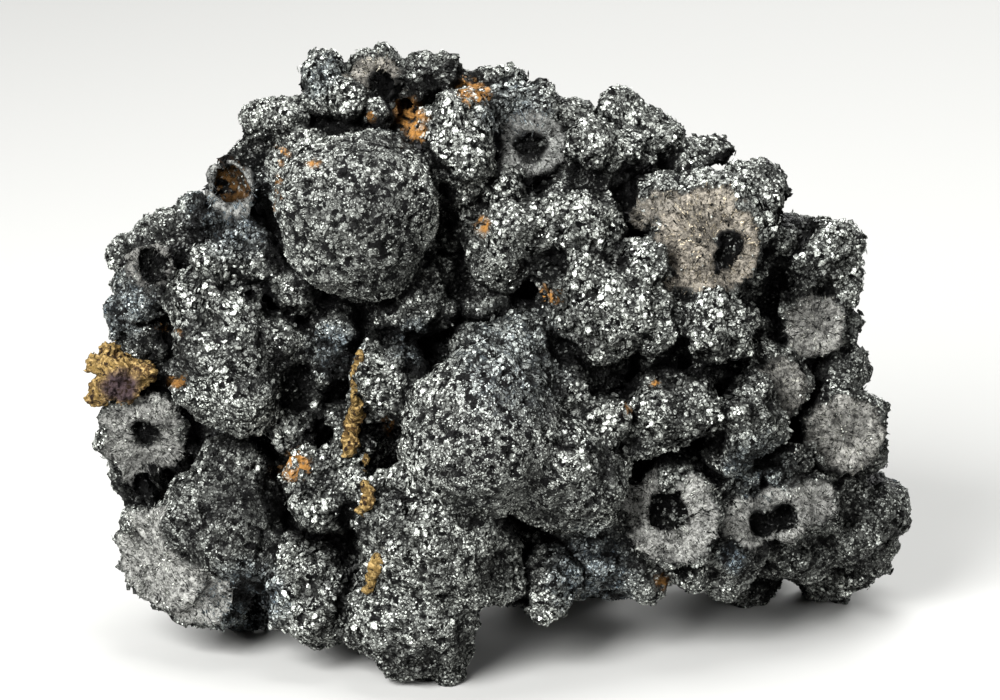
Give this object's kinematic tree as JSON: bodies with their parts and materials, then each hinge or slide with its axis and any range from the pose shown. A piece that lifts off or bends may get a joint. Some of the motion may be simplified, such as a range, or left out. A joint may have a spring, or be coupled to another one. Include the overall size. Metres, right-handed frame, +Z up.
{
  "type": "mineral specimen",
  "caption": "Natural cluster of dark metallic globes grown into one another, several broken open to hollow hearts, with crusts of ochre in its seams.",
  "frame": {"origin": "on the ground under the middle of the specimen", "axes": "+Z up as it rests, front towards -Y, longest way along X"},
  "size_m": [0.1036, 0.0622, 0.0767],
  "materials": {
    "miargyrite": "metallic, glittering crust of small crystals",
    "ochre": "earthy, matte"
  },
  "bodies": {
    "root": {"miargyrite_cluster": "miargyrite", "ochre_knob": "ochre", "ochre_upper_seam": "ochre", "ochre_lower_seam": "ochre", "ochre_foot_seam": "ochre"}
  },
  "joints": []
}
